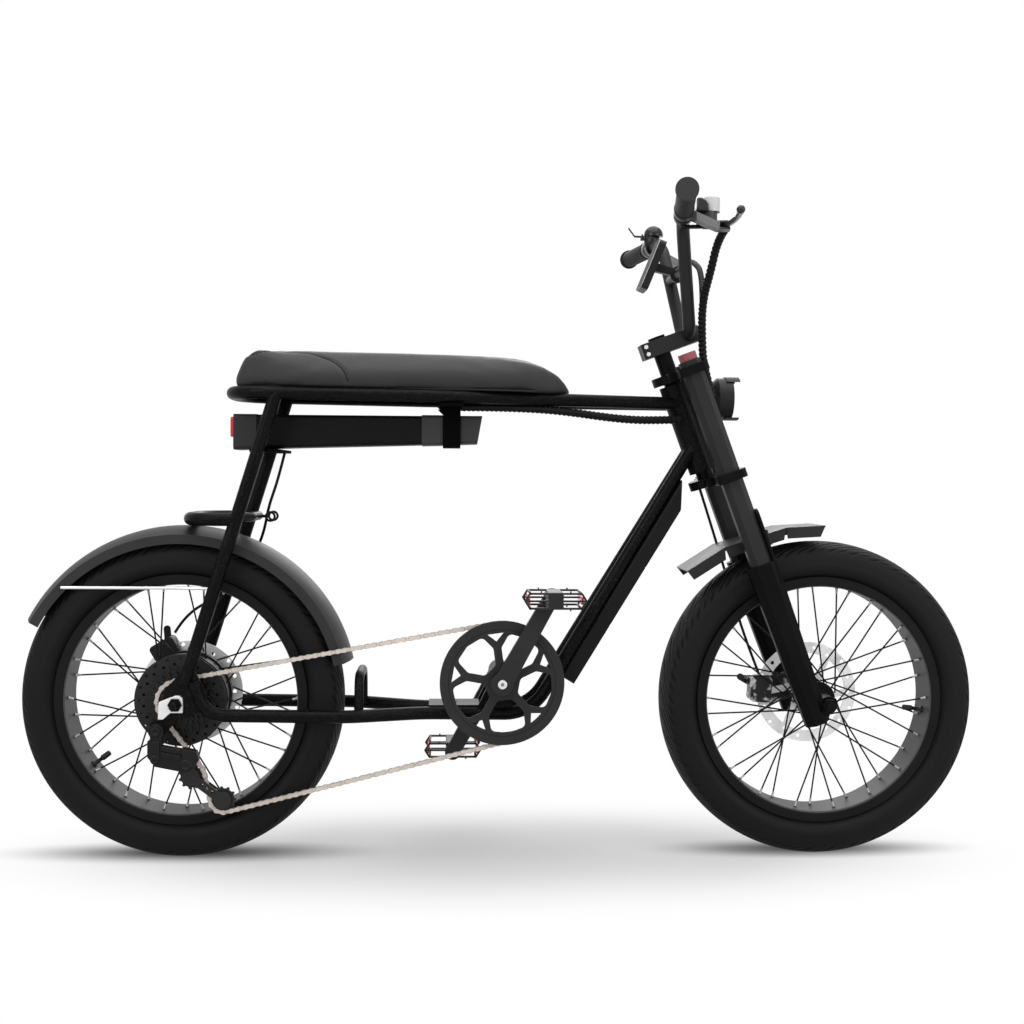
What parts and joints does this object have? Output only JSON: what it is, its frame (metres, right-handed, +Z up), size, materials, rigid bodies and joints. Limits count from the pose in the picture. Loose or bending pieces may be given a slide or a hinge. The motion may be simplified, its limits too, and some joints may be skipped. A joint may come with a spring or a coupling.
{
  "type": "fat tyre electric bicycle",
  "caption": "Moped-style electric bicycle with fat tyres, a long bench seat, twin-tube frame, dual-crown fork, disc brakes, chain drive and a battery under the seat rails.",
  "frame": {"origin": "on the ground, midway between the two axles, in the bike's middle plane", "axes": "+X forward, +Y to the rider's left, +Z up; the chain side is -Y"},
  "size_m": [1.65, 0.665, 1.1284],
  "materials": {
    "frame_paint": "gloss black, fine texture",
    "bearing_steel": "plain steel",
    "seat_leather": "grained charcoal leatherette",
    "seat_board": "moulded black board",
    "case_plastic": "fine textured black",
    "red_lens": "red lens",
    "guard_paint": "satin charcoal",
    "brake_alloy": "satin silver grey",
    "chain_steel": "light oiled steel",
    "cable_cover": "wrapped black cable",
    "derailleur_alloy": "satin black with bare edges",
    "pulley_plastic": "black nylon",
    "fork_paint": "satin black",
    "grip_rubber": "ribbed black rubber",
    "bell_metal": "gloss black",
    "clear_lens": "clear lens",
    "knob_red": "muted red anodised",
    "tyre_rubber": "black rubber",
    "rim_paint": "satin black",
    "spoke_steel": "dark steel",
    "hub_paint": "satin black",
    "disc_steel": "ground steel",
    "crank_paint": "satin black alloy",
    "pedal_plastic": "black with red reflectors",
    "lever_plastic": "black"
  },
  "bodies": {
    "frame": {"head_tube": "frame_paint", "headset_bearings": "bearing_steel", "top_rail_loop": "frame_paint", "seat_stays": "frame_paint", "lower_tubes": "frame_paint", "bottom_bracket_shell": "frame_paint", "frame_bridges": "frame_paint", "battery_cradle": "frame_paint", "seat_base": "seat_board", "seat_pad": "seat_leather", "battery_case": "case_plastic", "tail_light_lens": "red_lens", "controller_box": "case_plastic", "rear_fender": "guard_paint", "rear_brake_caliper": "brake_alloy", "rear_axle": "bearing_steel", "chain": "chain_steel", "frame_cable_loom": "cable_cover", "derailleur_body": "derailleur_alloy"},
    "steering": {"fork_crowns": "fork_paint", "fork_upper_legs": "fork_paint", "stem": "fork_paint", "handlebar": "fork_paint", "grips": "grip_rubber", "lever_brackets": "brake_alloy", "shifter_body": "case_plastic", "bell": "bell_metal", "display": "case_plastic", "headlight_housing": "case_plastic", "headlight_lens": "clear_lens", "bar_cable_loom": "cable_cover"},
    "fork_lower": {"fork_sliders": "fork_paint", "front_fender": "guard_paint", "front_axle": "bearing_steel", "front_brake_caliper": "brake_alloy"},
    "front_wheel": {"front_tyre": "tyre_rubber", "front_rim": "rim_paint", "front_spokes": "spoke_steel", "front_hub": "hub_paint", "front_rotor": "disc_steel"},
    "rear_wheel": {"rear_tyre": "tyre_rubber", "rear_rim": "rim_paint", "rear_spokes": "spoke_steel", "motor_hub": "hub_paint", "rear_rotor": "disc_steel"},
    "crank": {"crank_set": "crank_paint", "chainring": "crank_paint"},
    "pedal_right": {"pedal_right": "pedal_plastic"},
    "pedal_left": {"pedal_left": "pedal_plastic"},
    "cassette": {"cassette": "chain_steel"},
    "brake_lever_right": {"brake_lever_right": "brake_alloy"},
    "brake_lever_left": {"brake_lever_left": "brake_alloy"},
    "front_brake_arm": {"front_brake_arm": "brake_alloy"},
    "rear_brake_arm": {"rear_brake_arm": "brake_alloy"},
    "shift_lever": {"shift_lever": "lever_plastic"},
    "bell_striker": {"bell_striker": "bell_metal"},
    "derailleur_cage": {"derailleur_cage": "derailleur_alloy"},
    "guide_pulley": {"guide_pulley": "pulley_plastic"},
    "tension_pulley": {"tension_pulley": "pulley_plastic"},
    "preload_knob": {"preload_knob": "knob_red"}
  },
  "joints": [
    {"name": "steering_turn", "type": "hinge", "parent": "frame", "child": "steering", "pos_m": [0.322, 0, 0.74723], "axis": [-0.3469, 0, 0.9379], "range_deg": [-40, 40]},
    {"name": "fork_travel", "type": "slide", "parent": "steering", "child": "fork_lower", "axis": [-0.3469, 0, 0.9379], "range_m": [0, 0.05], "stiffness_N_per_m": 9000, "springref_m": -0.04, "deforming": ["bar_cable_loom"]},
    {"name": "front_wheel_spin", "type": "hinge", "parent": "fork_lower", "child": "front_wheel", "pos_m": [0.55, 0, 0.275], "axis": [0, 1, 0], "continuous": true},
    {"name": "rear_wheel_spin", "type": "hinge", "parent": "frame", "child": "rear_wheel", "pos_m": [-0.55, 0, 0.275], "axis": [0, 1, 0], "continuous": true},
    {"name": "crank_turn", "type": "hinge", "parent": "frame", "child": "crank", "pos_m": [-0.004, 0, 0.309], "axis": [0, 1, 0], "continuous": true, "deforming": ["chain"]},
    {"name": "pedal_right_spin", "type": "hinge", "parent": "crank", "child": "pedal_right", "pos_m": [0.07894, -0.131, 0.4574], "axis": [0, 1, 0], "continuous": true},
    {"name": "pedal_left_spin", "type": "hinge", "parent": "crank", "child": "pedal_left", "pos_m": [-0.08694, 0.131, 0.1606], "axis": [0, 1, 0], "continuous": true},
    {"name": "cassette_turn", "type": "hinge", "parent": "frame", "child": "cassette", "pos_m": [-0.55, 0, 0.275], "axis": [0, 1, 0], "continuous": true},
    {"name": "cage_swing", "type": "hinge", "parent": "frame", "child": "derailleur_cage", "pos_m": [-0.53, 0, 0.176], "axis": [0, 1, 0], "range_deg": [-8, 8], "stiffness_Nm_per_rad": 4, "deforming": ["chain"]},
    {"name": "guide_pulley_spin", "type": "hinge", "parent": "derailleur_cage", "child": "guide_pulley", "pos_m": [-0.528, -0.06, 0.149], "axis": [0, 1, 0], "continuous": true},
    {"name": "tension_pulley_spin", "type": "hinge", "parent": "derailleur_cage", "child": "tension_pulley", "pos_m": [-0.475, -0.06, 0.11], "axis": [0, 1, 0], "continuous": true},
    {"name": "brake_lever_right_pull", "type": "hinge", "parent": "steering", "child": "brake_lever_right", "pos_m": [0.34367, -0.19222, 1.0632], "axis": [-0.0019, -0.0278, -0.9996], "range_deg": [0, 14], "stiffness_Nm_per_rad": 1.5, "springref_deg": -17.19},
    {"name": "brake_lever_left_pull", "type": "hinge", "parent": "steering", "child": "brake_lever_left", "pos_m": [0.34367, 0.19222, 1.0632], "axis": [0.0019, -0.0278, 0.9996], "range_deg": [0, 14], "stiffness_Nm_per_rad": 1.5, "springref_deg": -17.19},
    {"name": "front_brake_arm_pull", "type": "hinge", "parent": "fork_lower", "child": "front_brake_arm", "pos_m": [0.46521, 0, 0.28093], "axis": [0, 1, 0], "range_deg": [0, 21]},
    {"name": "rear_brake_arm_pull", "type": "hinge", "parent": "frame", "child": "rear_brake_arm", "pos_m": [-0.59378, 0, 0.34786], "axis": [0, 1, 0], "range_deg": [0, 21]},
    {"name": "shift_lever_push", "type": "hinge", "parent": "steering", "child": "shift_lever", "pos_m": [0.32061, -0.15851, 1.06931], "axis": [0.0019, 0.0278, 0.9996], "range_deg": [-20, 20]},
    {"name": "bell_striker_flick", "type": "hinge", "parent": "steering", "child": "bell_striker", "pos_m": [0.26067, 0.1592, 1.10546], "axis": [0.0019, -0.0278, 0.9996], "range_deg": [0, 15], "stiffness_Nm_per_rad": 0.08, "springref_deg": -22.92},
    {"name": "preload_knob_turn", "type": "hinge", "parent": "steering", "child": "preload_knob", "pos_m": [0.30729, -0.08, 0.85907], "axis": [-0.3469, 0, 0.9379], "range_deg": [0, 90]}
  ],
  "couplings": [
    {"joint": "cassette_turn", "follows": "crank_turn", "ratio": 2.7778},
    {"joint": "guide_pulley_spin", "follows": "crank_turn", "ratio": -4.5455},
    {"joint": "tension_pulley_spin", "follows": "crank_turn", "ratio": 4.5455},
    {"joint": "front_brake_arm_pull", "follows": "brake_lever_left_pull", "ratio": 1.5},
    {"joint": "rear_brake_arm_pull", "follows": "brake_lever_right_pull", "ratio": 1.5}
  ]
}
